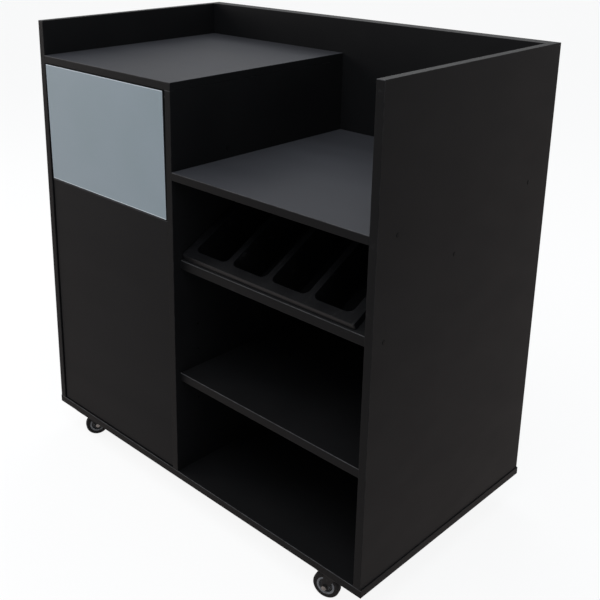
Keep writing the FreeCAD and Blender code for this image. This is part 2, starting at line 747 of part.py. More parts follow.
nut.Polygon = 6
nut.Circumradius = 5.8
nut.Height = 4.4
nut.Placement = Placement(Vector(0, 0, 2 * (cheek_in + cheek_thick)), Rotation())
doc.recompute()
axle_master = fuse("axle_master", [axle_body, nut])
axle_local = facing((trail, -cheek_in - cheek_thick, wheel_r), (0, 1, 0))
axle_tool = doc.addObject("Part::Feature", "axle_tool")
axle_tool.Shape = axle_master.Shape.transformed(axle_local.toMatrix(), True)
fork_master = cut("fork_master", fuse("fork_blank", [crown] + cheeks), [axle_tool])

core_r = val("wheel_core_dia") / 2
hub_bore = axle_r + val("running_fit")
hub_r = val("wheel_hub_dia") / 2
hub_face = half_w + 1.4
rim_face = half_w - 0.8
core_side = [
    (hub_bore, hub_face), (hub_r - 0.8, hub_face), (hub_r, hub_face - 0.8), (hub_r + 0.6, 3),
    (core_r - 5.4, 3), (core_r - 4.6, rim_face - 0.7), (core_r - 3.8, rim_face), (core_r, rim_face)]
core_master = turned("wheel_core_master", core_side + [(r, -z) for r, z in reversed(core_side)])
shoulder = val("tyre_shoulder")
tread = wheel_r - shoulder
tyre_side = [(core_r, rim_face)]
for step in range(7):
    angle = math.radians(90 - step * 15)
    tyre_side.append((tread + shoulder * math.cos(angle), half_w - shoulder + shoulder * math.sin(angle)))
tyre_master = turned("tyre_master", tyre_side + [(r, -z) for r, z in reversed(tyre_side)])

for name, (x, y, yaw) in castors.items():
    turn = Placement(Vector(x, y, 0), Rotation(Vector(0, 0, 1), yaw))
    placed("castor_fork_" + name, fork_master, turn)
    placed("castor_axle_" + name, axle_master, turn.multiply(axle_local))
    wheel_spot = turn.multiply(facing((trail, 0, wheel_r), (0, 1, 0)))
    placed("wheel_core_" + name, core_master, wheel_spot)
    placed("wheel_tyre_" + name, tyre_master, wheel_spot)


def boarded(node, x, y, z, pairs="", tools=()):
    made = box(node + "_blank", x, y, z)
    if pairs:
        made = eased(made, node + "_eased", pairs)
    if tools:
        made = cut(node + "_cut", made, list(tools))
    return keep(node, made)


def strip(node, x, y, z, tools=()):
    return boarded(node, x, y, z, "front-left front-right front-top front-bottom", tools)


FRONT_STRIP = ("front_plane", "board_front")
BASE_X = ("left_out - base_jut", "right_out + base_jut")
peg_parts = [flap_stop_screws]

boarded("base_board", BASE_X, ("board_front", "rear_plane + base_jut"), ("castor_height", "base_top"),
        "top-left top-right top-rear bottom-left bottom-right bottom-rear left-rear right-rear",
        [connector_space, dowels, castor_screws])
strip("base_board_edging", BASE_X, FRONT_STRIP, ("castor_height", "base_top"))

boarded("left_side_panel", ("left_out", "left_inner"), ("board_front", "cover_front"), ("base_top", "panel_top"),
        "top-left top-right", [connector_space, dowels, bush_space, wood_space] + peg_parts)
strip("left_side_edging", ("left_out", "left_inner"), FRONT_STRIP, ("base_top", "panel_top"))
boarded("right_side_panel", ("right_inner", "right_out"), ("board_front", "cover_front"), ("base_top", "panel_top"),
        "top-left top-right", [connector_space, dowels] + right_holes)
strip("right_side_edging", ("right_inner", "right_out"), FRONT_STRIP, ("base_top", "panel_top"))
boarded("divider_panel", ("divider_left", "divider_right"), ("board_front", "back_front"),
        ("base_top", "raised_under"), "",
        [connector_space, dowels, bush_space, wood_space] + peg_parts + divider_holes)
strip("divider_edging", ("divider_left", "divider_right"), FRONT_STRIP, ("base_top", "raised_under"))
boarded("raised_top", ("left_inner", "divider_right"), ("board_front", "back_front"),
        ("raised_under", "raised_top_z"), "top-right bottom-right", [connector_space, dowels, wood_space])
strip("raised_top_edging", ("left_inner", "divider_right"), FRONT_STRIP, ("raised_under", "raised_top_z"))
boarded("worktop", ("divider_right", "right_inner"), ("board_front", "back_front"),
        ("worktop_under", "worktop_z"), "", [connector_space])
strip("worktop_edging", ("divider_right", "right_inner"), FRONT_STRIP, ("worktop_under", "worktop_z"))
boarded("inner_back_panel", ("left_inner", "right_inner"), ("back_front", "cover_front"),
        ("base_top", "panel_top"), "top-front")
boarded("rear_cover_panel", ("left_out", "right_out"), ("cover_front", "rear_plane"), ("base_top", "panel_top"),
        "top-left top-right top-rear left-rear right-rear", [connector_space])

MIDDLE_X = ("divider_right + middle_shelf_gap", "right_inner - middle_shelf_gap")
boarded("middle_shelf", MIDDLE_X, ("middle_front + edging", "back_front - 2 * middle_shelf_gap"),
        ("middle_under", "middle_z"), "top-left top-right top-rear")
strip("middle_shelf_edging", MIDDLE_X, ("middle_front", "middle_front + edging"), ("middle_under", "middle_z"))

# Door, banded on all four edges.
boarded("door_panel",
        ("door_left + edging", "door_right - edging"),
        ("door_front", "door_rear"),
        ("door_bottom + edging", "door_top - edging"), "", [cup_screw_space, cup_space, keeper])
band_outer = box("door_band_outer", ("door_left", "door_right"), ("door_front", "door_rear"),
                 ("door_bottom", "door_top"))
band_eased = eased(band_outer, "door_band_eased",
                   "front-left front-right front-top front-bottom rear-left rear-right rear-top rear-bottom")
band_inner = box("door_band_inner", ("door_left + edging", "door_right - edging"),
                 ("door_front - 5", "door_rear + 5"), ("door_bottom + edging", "door_top - edging"))
keep("door_edging", cut("door_edging", band_eased, [band_inner]))

# Flap: board, facing sheet and pins, hung at a slight angle from the pivot line.
hang = Placement(Vector(0, val("pivot_y"), val("pivot_z")), Rotation(Vector(1, 0, 0), val("flap_hang_angle")))


def hung(label, x, y, z):
    """Box given from the pivot line, carried to its hanging place."""
    made = box(label, x, y, z)
    for axis in "xyz":
        made.setExpression("Placement.Base." + axis, None)
    made.Placement = hang.multiply(made.Placement)
    doc.recompute()
    return made


def edge_pairs(base, label, picks, radius):
    rounded = doc.addObject("Part::Fillet", label)
    rounded.Base = base
    rounded.Edges = [(number, radius, radius) for number in picks]
    doc.recompute()
    return rounded


def hung_edges(base, side):
    """Numbers of the edges on the front or rear face of a hung box."""
    found = []
    inverse = hang.inverse()
    lows = []
    for edge in base.Shape.Edges:
        ends = [inverse.multVec(vertex.Point).y for vertex in edge.Vertexes]
        lows.append((min(ends), max(ends)))
    target = min(low for low, high in lows) if side == "front" else max(high for low, high in lows)
    for number, (low, high) in enumerate(lows, start=1):
        if abs(low - target) < 1e-6 and abs(high - target) < 1e-6:
            found.append(number)
    return found


FLAP_Z = ("flap_pivot_drop - flap_height", "flap_pivot_drop")
FLAP_X = ("flap_left", "flap_right")
flap_blank = hung("flap_blank", FLAP_X, ("-flap_board / 2", "flap_board / 2"), FLAP_Z)
flap_eased = edge_pairs(flap_blank, "flap_eased", hung_edges(flap_blank, "rear"), 1.5)
pin_r = val("pivot_pin_dia") / 2
pin_long = val("pivot_pin_sunk") + val("flap_side_gap") + val("pivot_pin_in_bush")
pin_rod = turned("pivot_pin", [
    (0, 0), (pin_r, 0), (pin_r, pin_long - 0.8), (pin_r - 0.8, pin_long), (0, pin_long)])
pivot_left = facing((val("flap_left") + val("pivot_pin_sunk"), val("pivot_y"), val("pivot_z")), (-1, 0, 0))
pivot_right = facing((val("flap_right") - val("pivot_pin_sunk"), val("pivot_y"), val("pivot_z")), (1, 0, 0))
pivot_pins = group("flap_pivot_pins", pin_rod, [pivot_left, pivot_right])
keep("flap_board", cut("flap_board", flap_eased, [pivot_pins]))
sheet_blank = hung("sheet_blank", FLAP_X, ("-flap_board / 2 - flap_sheet", "-flap_board / 2"), FLAP_Z)
keep("flap_facing_sheet", edge_pairs(sheet_blank, "flap_facing_sheet", hung_edges(sheet_blank, "front"), 0.5))


def rounded_outline(sketch, centre_x, centre_y, width, length, corner):
    """Rounded rectangle bound to expressions; centre given as numbers from the sheets."""
    wide = wide_of(width)
    tall = wide_of(length)
    curve = wide_of(corner)
    left = centre_x - wide / 2
    right = centre_x + wide / 2
    low = centre_y - tall / 2
    high = centre_y + tall / 2
    lines = [
        ((left + curve, low), (right - curve, low)),
        ((right, low + curve), (right, high - curve)),
        ((right - curve, high), (left + curve, high)),
        ((left, high - curve), (left, low + curve)),
    ]
    ids = []
    for start, end in lines:
        ids.append(sketch.addGeometry(Part.LineSegment(Vector(*start, 0), Vector(*end, 0)), False))
    centres = [(right - curve, low + curve, -90), (right - curve, high - curve, 0),
               (left + curve, high - curve, 90), (left + curve, low + curve, 180)]
    arcs = []
    for cx, cy, first in centres:
        circle = Part.Circle(Vector(cx, cy, 0), Vector(0, 0, 1), curve)
        arc = Part.ArcOfCircle(circle, math.radians(first), math.radians(first + 90))
        arcs.append(sketch.addGeometry(arc, False))
    for number in range(4):
        sketch.addConstraint(Sketcher.Constraint("Tangent", ids[number], 2, arcs[number], 1))
        sketch.addConstraint(Sketcher.Constraint("Tangent", arcs[number], 2, ids[(number + 1) % 4], 1))
    sketch.addConstraint(Sketcher.Constraint("Horizontal", ids[0]))
    sketch.addConstraint(Sketcher.Constraint("Horizontal", ids[2]))
    sketch.addConstraint(Sketcher.Constraint("Vertical", ids[1]))
    sketch.addConstraint(Sketcher.Constraint("Vertical", ids[3]))
    for number in (1, 2, 3):
        sketch.addConstraint(Sketcher.Constraint("Equal", arcs[0], arcs[number]))
    made = {}
    made["corner"] = sketch.addConstraint(Sketcher.Constraint("Radius", arcs[0], curve))
    made["width"] = sketch.addConstraint(Sketcher.Constraint("DistanceX", ids[3], 1, ids[1], 1, wide))
    made["length"] = sketch.addConstraint(Sketcher.Constraint("DistanceY", ids[0], 1, ids[2], 1, tall))
    sketch.addConstraint(Sketcher.Constraint("DistanceX", -1, 1, ids[3], 1, left))
    sketch.addConstraint(Sketcher.Constraint("DistanceY", -1, 1, ids[0], 1, low))
    for name, text in (("corner", corner), ("width", width), ("length", length)):
        sketch.setExpression("Constraints[%d]" % made[name], bound(text))


def wide_of(text):
    """Number behind an expression written with + - * / and the sheet names."""
    scratch = doc.getObject("Scratch") or doc.addObject("Part::Box", "Scratch")
    scratch.setExpression("Length", bound(text))
    doc.recompute()
    return float(scratch.Length)


def sketch_on(body, name, role, lift=0.0):
    sketch = body.newObject("Sketcher::SketchObject", name)
    plane = [feature for feature in body.Origin.OriginFeatures if feature.Role == role][0]
    sketch.AttachmentSupport = [(plane, "")]
    sketch.MapMode = "FlatFace"
    sketch.AttachmentOffset = Placement(Vector(0, 0, lift), Rotation())
    doc.recompute()
    return sketch


def level_edges(shape, level, inside):
    """Names of the edges lying flat at a level and accepted by the test."""
    found = []
    for number, edge in enumerate(shape.Edges, start=1):
        span = edge.BoundBox
        if abs(span.ZMin - level) < 0.02 and abs(span.ZMax - level) < 0.02 and inside(span):
            found.append("Edge%d" % number)
    return found


def add_fillet(body, name, picks, radius):
    before = body.Tip
    rounded = body.newObject("PartDesign::Fillet", name)
    rounded.Base = (before, picks)
    rounded.Radius = radius
    body.Tip = rounded
    doc.recompute()
    return rounded


half_tray = val("tray_width") / 2
rim_level = val("tray_rim_height")


def at_rim(span):
    near_side = max(abs(span.XMin), abs(span.XMax)) > half_tray - 10
    near_front = span.YMin < val("tray_foot_setback") + 10
    near_rear = span.YMax > val("tray_foot_setback") + val("tray_length") - 10
    return near_side or near_front or near_rear


# Cutlery tray: rim and four pockets in one moulding, drawn in the sloping frame.
tray = doc.addObject("PartDesign::Body", "cutlery_tray")
tray_mid = val("tray_foot_setback") + val("tray_length") / 2
rim_sketch = sketch_on(tray, "rim_sketch", "XY_Plane")
rounded_outline(rim_sketch, 0, tray_mid, "tray_width", "tray_length", "tray_rim_corner")
rim = tray.newObject("PartDesign::Pad", "rim")
rim.Profile = rim_sketch
rim.setExpression("Length", bound("tray_rim_height"))
rim.TaperAngle = -val("tray_rim_draft")
tray.Tip = rim
doc.recompute()
add_fillet(tray, "rim_round", level_edges(rim.Shape, rim_level, at_rim), val("tray_rim_round"))
hollow_sketch = sketch_on(tray, "hollow_sketch", "XY_Plane")
rounded_outline(hollow_sketch, 0, tray_mid, "tray_width - 2 * tray_wall", "tray_length - 2 * tray_wall",
                "tray_rim_corner - tray_wall")
hollow = tray.newObject("PartDesign::Pocket", "rim_hollow")
hollow.Profile = hollow_sketch
hollow.Reversed = True
hollow.setExpression("Length", bound("tray_rim_height - tray_wall"))
hollow.TaperAngle = -val("tray_rim_draft")
doc.recompute()

first_x = -1.5 * val("pocket_pitch")
cup_sketch = sketch_on(tray, "cup_sketch", "XY_Plane", val("tray_rim_height") - val("tray_wall") / 2)
rounded_outline(cup_sketch, first_x, tray_mid, "pocket_width + 2 * tray_wall", "pocket_length + 2 * tray_wall",
                "pocket_corner + tray_wall")
cup = tray.newObject("PartDesign::Pad", "pocket_outside")
cup.Profile = cup_sketch
cup.Reversed = True
cup.setExpression("Length", bound("pocket_depth + tray_wall / 2"))
cup.TaperAngle = -val("pocket_draft")
doc.recompute()
cups = tray.newObject("PartDesign::LinearPattern", "pocket_outsides")
cups.Originals = [cup]
cups.Direction = (cup_sketch, ["H_Axis"])
cups.Length = 3 * val("pocket_pitch")
cups.Occurrences = 4
tray.Tip = cups
doc.recompute()
well_sketch = sketch_on(tray, "well_sketch", "XY_Plane", val("tray_rim_height"))
rounded_outline(well_sketch, first_x, tray_mid, "pocket_width", "pocket_length", "pocket_corner")
well = tray.newObject("PartDesign::Pocket", "pocket_inside")
well.Profile = well_sketch
well.setExpression("Length", bound("pocket_depth"))
well.TaperAngle = -val("pocket_draft")
doc.recompute()
wells = tray.newObject("PartDesign::LinearPattern", "pocket_insides")
wells.Originals = [well]
wells.Direction = (well_sketch, ["H_Axis"])
wells.Length = 3 * val("pocket_pitch")
wells.Occurrences = 4
tray.Tip = wells
doc.recompute()
add_fillet(tray, "pocket_lip_round", level_edges(tray.Tip.Shape, rim_level, lambda span: True),
           val("pocket_lip_round"))
floor_level = rim_level - val("pocket_depth")
add_fillet(tray, "pocket_floor_round", level_edges(tray.Tip.Shape, floor_level, lambda span: True),
           val("pocket_floor_round"))
tray.Placement = slope
keep("cutlery_tray", tray)

# Tray shelf: side outline padded across the bay, cut out for the tray, front face cut plumb.
rise = val("board") * math.tan(SLOPE)
lead = val("edging") / math.cos(SLOPE)


def slope_pad(node, outline):
    body = doc.addObject("PartDesign::Body", node)
    sketch = sketch_on(body, node + "_side", "YZ_Plane")
    for number in range(len(outline)):
        start = outline[number]
        end = outline[(number + 1) % len(outline)]
        sketch.addGeometry(Part.LineSegment(Vector(*start, 0), Vector(*end, 0)), False)
    for number in range(len(outline)):
        following = (number + 1) % len(outline)
        sketch.addConstraint(Sketcher.Constraint("Coincident", number, 2, following, 1))
    pad = body.newObject("PartDesign::Pad", node + "_pad")
    pad.Profile = sketch
    pad.setExpression("Length", bound("right_inner - divider_right"))
    pad.Midplane = True
    doc.recompute()
    body.Placement = Placement(Vector(val("bay_centre"), val("slope_y"), val("slope_z")), slope.Rotation)
    doc.recompute()
    return body


shelf_end = val("tray_shelf_length")
thick = val("board")
tray_shelf = slope_pad("tray_shelf_board", [
    (lead, 0), (shelf_end, 0), (shelf_end, -thick), (lead - rise, -thick)])
shift = val("tray_centre") - val("bay_centre")
gap_sketch = sketch_on(tray_shelf, "cutout_sketch", "XY_Plane")
rounded_outline(gap_sketch, shift, tray_mid,
                "3 * pocket_pitch + pocket_width + 2 * tray_wall + 2 * tray_cutout_gap",
                "pocket_length + 2 * tray_wall + 2 * tray_cutout_gap",
                "pocket_corner + tray_wall")
gap_pocket = tray_shelf.newObject("PartDesign::Pocket", "tray_cutout")
gap_pocket.Profile = gap_sketch
gap_pocket.Type = 1
gap_pocket.Midplane = True
doc.recompute()
keep("tray_shelf", cut("tray_shelf", tray_shelf, [connector_space]))
front_band = slope_pad("tray_shelf_band", [(0, 0), (lead, 0), (lead - rise, -thick), (-rise, -thick)])
keep("tray_shelf_edging", front_band)
doc.removeObject("Scratch")
doc.recompute()

for thing in doc.Objects:
    if {"Invalid", "Error"} & set(thing.State):
        raise RuntimeError("%s is %s" % (thing.Label, thing.State))
for node, thing in NODES.items():
    if thing.Shape.isNull() or not thing.Shape.isValid():
        raise RuntimeError(node + " has no valid shape")
    if not thing.Shape.Solids:
        raise RuntimeError(node + " has no solid")
for node, thing in NODES.items():
    thing.Shape.exportStep("parts/%s.step" % node)
    whole = thing.Shape.BoundBox
    print("%-28s %3d solids %9.1f cm3  %s" % (
        node, len(thing.Shape.Solids), thing.Shape.Volume / 1000,
        " ".join("%.1f..%.1f" % pair for pair in limits(whole))))
print(len(NODES), "nodes")
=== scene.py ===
import json
import math

import bpy
from mathutils import Euler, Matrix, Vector


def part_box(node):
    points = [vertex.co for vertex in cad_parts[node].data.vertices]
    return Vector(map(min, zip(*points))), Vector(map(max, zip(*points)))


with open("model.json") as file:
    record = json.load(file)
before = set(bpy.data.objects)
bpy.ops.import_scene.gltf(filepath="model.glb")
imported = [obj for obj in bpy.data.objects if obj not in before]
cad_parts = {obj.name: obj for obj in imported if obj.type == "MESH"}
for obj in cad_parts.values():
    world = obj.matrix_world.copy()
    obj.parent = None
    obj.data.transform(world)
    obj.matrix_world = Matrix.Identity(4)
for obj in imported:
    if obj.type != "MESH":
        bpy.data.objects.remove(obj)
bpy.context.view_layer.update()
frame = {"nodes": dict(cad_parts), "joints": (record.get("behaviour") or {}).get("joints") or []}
nodes = frame["nodes"]

# Lengths are in metres, in the model's own frame.
MM = 0.001
MICRON = 0.000001

# The photograph's camera, from the fit of the carcass edges. The turns are in degrees.
PHOTO_SIZE = 600
CAMERA_PLACE = (1.4394, -1.5204, 1.4103)
CAMERA_TURN = (72.595, -0.201, 45.607)
FOCAL_PIXELS = 922.5
AIM_PIXEL = (245.3, 184.8)
SENSOR = 36.0
NEAREST = 0.05

# Surface colours.
LAMINATE_DARK = (0.0050, 0.0050, 0.0053)
LAMINATE_LIGHT = (0.0061, 0.0061, 0.00635)
LAMINATE_RUBBED = (0.022, 0.021, 0.021)
# Painted sheen: a bluish grey that lightens the top faces of the worktop and the raised top.
TOP_SHEEN_PAINTED = (0.090, 0.092, 0.104)
BAND_DARK = (0.0036, 0.0036, 0.0038)
BAND_LIGHT = (0.0051, 0.0051, 0.0053)
BAND_RUBBED = (0.032, 0.031, 0.031)
# Painted highlight along the upper edge of the edge bands.
BAND_EDGE_HIGHLIGHT_PAINT = (0.056, 0.055, 0.056)
TRAY_DARK = (0.0034, 0.0034, 0.0038)
TRAY_LIGHT = (0.0050, 0.0050, 0.0055)
TRAY_SCUFF = (0.032, 0.032, 0.033)
SHEET_GREY = (0.162, 0.198, 0.214)
SHEET_PALE = (0.172, 0.206, 0.226)
SHEET_PIT = (0.12, 0.15, 0.165)
# Painted highlight colour for the facing sheet's edges.
SHEET_EDGE_HIGHLIGHT_PAINT = (0.50, 0.53, 0.55)
PAINT_DARK = (0.0085, 0.0083, 0.0082)
PAINT_LIGHT = (0.0130, 0.0127, 0.0125)
PAINT_RUBBED = (0.050, 0.046, 0.042)
FORK_DARK = (0.0045, 0.0045, 0.0046)
FORK_LIGHT = (0.0080, 0.0078, 0.0076)
FORK_SCUFF = (0.045, 0.043, 0.042)
CORE_GREY = (0.125, 0.127, 0.131)
CORE_GRIMY = (0.055, 0.054, 0.054)
# Painted shade for the dished web of the wheel core.
CORE_WEB_PAINTED_SHADE = (0.012, 0.012, 0.012)
TYRE_DARK = (0.0040, 0.0040, 0.0041)
TYRE_LIGHT = (0.0075, 0.0073, 0.0071)
TREAD_DUST = (0.030, 0.028, 0.027)
NYLON_DARK = (0.0036, 0.0036, 0.0037)
NYLON_LIGHT = (0.0058, 0.0058, 0.0060)
BEECH_DARK = (0.52, 0.35, 0.20)
BEECH_LIGHT = (0.64, 0.46, 0.29)
BEECH_FLECK = (0.33, 0.19, 0.10)

# Bright metal: a grey tone, and its green and blue as shares of its red.
ZINC_TONE = 0.62
ZINC_TINT = (0.99, 0.96)
AXLE_TONE = 0.20
AXLE_TINT = (0.98, 0.96)

# How far rubbing reaches in from an edge.
BOARD_RUB = 1.6 * MM
BAND_RUB = 0.9 * MM
PAINT_RUB = 1.4 * MM

# Where a mask starts and where it is full, measured from the face or the axle that it follows.
TOP_FACE = (0.8 * MM, 0.2 * MM)
# Reach of the painted highlight along a band's upper edge.
UPPER_EDGE_HIGHLIGHT = (1.9 * MM, 0.5 * MM)
# Reach of the painted highlight on the facing sheet's sides, top and lower edge.
SHEET_SIDES = (1.6 * MM, 0.2 * MM)
SHEET_TOP = (2.2 * MM, 0.4 * MM)
SHEET_FOOT = (2.6 * MM, 0.6 * MM)
# Inner and outer reach of the painted shade in the wheel's dished web.
HUB_EDGE = (8.6 * MM, 9.8 * MM)
RIM_RING_EDGE = (15.6 * MM, 14.6 * MM)
TREAD_EDGE = (28.2 * MM, 29.6 * MM)
MOULD_RING_PITCH = 1.25 * MM

# The studio: tints, strengths and lamps. Each lamp is a name, a place, its size, watts and a tint.
WHITE = (1.0, 1.0, 1.0)
SKY_TINT = (0.80, 0.89, 1.0)
SKY_STRENGTH = 0.55
FLOOR_COLOUR = (0.86, 0.86, 0.86)
FLOOR_BOUNCE = (1.0, 0.89, 0.85)
FLOOR_WHITENESS = 0.90
FLOOR_REACH = 14.0
COOL_LAMP = (0.93, 0.96, 1.0)
WARM_LAMP = (1.0, 0.95, 0.92)
LAMP_AIM = (0, 0, 0.6)
LAMPS = (
    ("high soft box behind", (-1.2, 1.6, 3.2), (2.0, 2.0), 38, COOL_LAMP),
    ("high soft box in front", (0.6, -1.6, 3.4), (2.6, 2.0), 66, COOL_LAMP),
    ("left fill", (-3.2, -1.6, 1.9), (2.0, 2.0), 68, WARM_LAMP),
)


class Value:
    """A shader value that takes part in Python arithmetic."""

    def __init__(self, shading, socket):
        self.shading = shading
        self.socket = socket

    def math(self, operation, *values):
        return self.shading.node("ShaderNodeMath", {"operation": operation}, values)

    def __add__(self, other):
        return self.math("ADD", self, other)

    def __radd__(self, other):
        return self.math("ADD", other, self)

    def __sub__(self, other):
        return self.math("SUBTRACT", self, other)

    def __rsub__(self, other):
        return self.math("SUBTRACT", other, self)

    def __mul__(self, other):
        return self.math("MULTIPLY", self, other)

    def __rmul__(self, other):
        return self.math("MULTIPLY", other, self)

    def low(self, other):
        return self.math("MINIMUM", self, other)

    def high(self, other):
        return self.math("MAXIMUM", self, other)

    def size(self):
        return self.math("ABSOLUTE", self)

    def sine(self):
        return self.math("SINE", self)

    def swing(self, amount):
        """A value from 0 to 1, turned into one that swings by the amount about zero."""
        return (self - 0.5) * amount

    def ramp(self, start, end):
        """Smooth step from 0 at start to 1 at end, which may be the smaller of the two."""
        settings = {"interpolation_type": "SMOOTHSTEP"}
        if start < end:
            values = [self, start, end, 0.0, 1.0]
        else:
            values = [self, end, start, 1.0, 0.0]
        return self.shading.node("ShaderNodeMapRange", settings, values)


class Shading:
    """A node tree, of a material or of the world, and the ways to add to it."""

    def __init__(self, tree):
        self.tree = tree
        self.tree.nodes.clear()

    def feed(self, socket, content):
        if isinstance(content, Value):
            content = content.socket
        if isinstance(content, bpy.types.NodeSocket):
            self.tree.links.new(content, socket)
        elif socket.type == "RGBA":
            socket.default_value = (*content, 1.0)
        else:
            socket.default_value = content

    def node(self, kind, settings=None, values=(), out=0):
        """Adds a node: settings first, then its inputs by order or by name.

        Returns the output that out names, or the node itself if it has no output.
        """
        made = self.tree.nodes.new(kind)
        for label, setting in (settings or {}).items():
            setattr(made, label, setting)
        pairs = values.items() if isinstance(values, dict) else enumerate(values)
        for label, content in pairs:
            if content is not None:
                self.feed(made.inputs[label], content)
        return Value(self, made.outputs[out]) if made.outputs else made

    def blend(self, factor, first, second):
        """Colour mix, each colour as three numbers or a value."""
        a_colour, b_colour, colour_result = 6, 7, 2
        values = {"Factor": factor, a_colour: first, b_colour: second}
        return self.node("ShaderNodeMix", {"data_type": "RGBA"}, values, out=colour_result)

    def meets_white(self):
        """1 for rays that find the studio white: from the camera, off polish and through glass."""
        camera = self.node("ShaderNodeLightPath", out="Is Camera Ray")
        glossy = self.node("ShaderNodeLightPath", out="Is Glossy Ray")
        clear = self.node("ShaderNodeLightPath", out="Is Transmission Ray")
        return camera.high(glossy).high(clear)


class Finish(Shading):
    """One material: a Principled surface and the nodes behind it."""

    def __init__(self, name, **constants):
        self.material = bpy.data.materials.new(name)
        self.material.use_nodes = True
        super().__init__(self.material.node_tree)
        self.skin = self.node("ShaderNodeBsdfPrincipled")
        self.out = self.node("ShaderNodeOutputMaterial", {}, {"Surface": self.skin})
        self.coordinates = self.node("ShaderNodeTexCoord", out="Object")
        self.surface(**constants)

    def noise(self, scale, detail, rough, stretch=None):
        """Fractal noise from 0 to 1, its coordinates multiplied by the stretch first."""
        where = self.coordinates
        if stretch is not None:
            where = self.node("ShaderNodeVectorMath", {"operation": "MULTIPLY"}, [where, stretch])
        return self.node("ShaderNodeTexNoise", {}, {
            "Vector": where, "Scale": scale, "Detail": detail, "Roughness": rough})

    def cells(self, scale, feature="F1"):
        return self.node("ShaderNodeTexVoronoi", {"feature": feature}, {
            "Vector": self.coordinates, "Scale": scale})

    def axis(self, number):
        """x, y or z of the surface point, in metres."""
        return self.node("ShaderNodeSeparateXYZ", {}, [self.coordinates], out=number)

    def relief(self, *layers):
        """Bump from pairs of height value and depth in metres, chained."""
        normal = None
        for height, depth in layers:
            normal = self.node("ShaderNodeBump", {}, {
                "Height": height, "Distance": depth, "Strength": 1.0, "Normal": normal})
        self.surface(Normal=normal)

    def surface(self, **contents):
        for label, content in contents.items():
            self.feed(self.skin.socket.node.inputs[label.replace("_", " ")], content)
        return self


def wear_along_edges(finish, low, high, width):
    """1 on the outer edges of the box from low to high, fading to 0 over the width."""
    gaps = []
    for number in range(3):
        place = finish.axis(number)
        middle = (low[number] + high[number]) / 2
        half = (high[number] - low[number]) / 2
        gaps.append((half - (place - middle).size()).high(0.0))
    first, second, third = gaps
    nearest_but_one = first.low(second).high(first.high(second).low(third))
    return nearest_but_one.ramp(width, 0.0)


def black_laminate(name, low, high, top_sheen=0.0):
    """Melamine-faced board: satin black with a pearl grain, faint wiping marks and rubbed edges.

    The last argument sets a painted bluish sheen that lightens the top face, varied by the wiping marks.
    """
    finish = Finish(name, Specular_IOR_Level=0.045)
    pearl = finish.noise(1500, 3.0, 0.6)
    pebbles = finish.cells(620, "SMOOTH_F1")
    clouds = finish.noise(5.5, 4.0, 0.55)
    wiping = finish.noise(9, 3.0, 0.5, stretch=(0.25, 1.0, 2.2))
    dust = finish.noise(340, 2.0, 0.7).ramp(0.66, 0.78)
    rub_patches = finish.noise(60, 3.0, 0.6).ramp(0.42, 0.70)
    rub = wear_along_edges(finish, low, high, BOARD_RUB) * rub_patches
    colour = finish.blend(clouds.ramp(0.3, 0.7), LAMINATE_DARK, LAMINATE_LIGHT)
    # Painted sheen: the top face is blended towards a bluish grey, standing in for the light it reflects.
    if top_sheen:
        top_face = (high[2] - finish.axis(2)).ramp(*TOP_FACE)
        painted_sheen = top_face * top_sheen * (0.85 + wiping.swing(0.5))
        colour = finish.blend(painted_sheen, colour, TOP_SHEEN_PAINTED)
    colour = finish.blend(dust * 0.22, colour, LAMINATE_RUBBED)
    colour = finish.blend(rub * 0.45, colour, LAMINATE_RUBBED)
    roughness = 0.50 + clouds.swing(0.08) + wiping.swing(0.10) + pearl.swing(0.08) - rub * 0.08
    finish.relief((pebbles, 45 * MICRON), (pearl, 20 * MICRON), (wiping, 50 * MICRON))
    return finish.surface(Base_Color=colour, Roughness=roughness)


def black_edge_band(name, low, high):
    """Plastic edge band: a little smoother than the board, with scraper lines along its length and a
    painted highlight along its upper edge.
    """
    finish = Finish(name, Specular_IOR_Level=0.05)
    stands = high[2] - low[2] > high[0] - low[0]
    lengthwise = (300, 300, 6) if stands else (6, 300, 300)
    scraper = finish.noise(3, 3.0, 0.6, stretch=lengthwise)
    grain = finish.noise(1700, 2.0, 0.6)
    knocks = finish.noise(38, 4.0, 0.65).ramp(0.62, 0.72)
    rub = wear_along_edges(finish, low, high, BAND_RUB)
    patches = finish.noise(45, 3.0, 0.6).ramp(0.35, 0.65)
    # Painted highlight: the upper edge is lightened, standing in for the light it catches.
    painted_edge_highlight = (high[2] - finish.axis(2)).ramp(*UPPER_EDGE_HIGHLIGHT) * (0.75 + patches.swing(0.4))
    colour = finish.blend(scraper, BAND_DARK, BAND_LIGHT)
    colour = finish.blend(rub * patches * 0.5 + knocks * 0.15, colour, BAND_RUBBED)
    colour = finish.blend(painted_edge_highlight, colour, BAND_EDGE_HIGHLIGHT_PAINT)
    roughness = 0.46 + scraper.swing(0.16) + grain.swing(0.06) + knocks * 0.12
    finish.relief((scraper, 40 * MICRON), (grain, 15 * MICRON), (knocks, -60 * MICRON))
    return finish.surface(Base_Color=colour, Roughness=roughness)


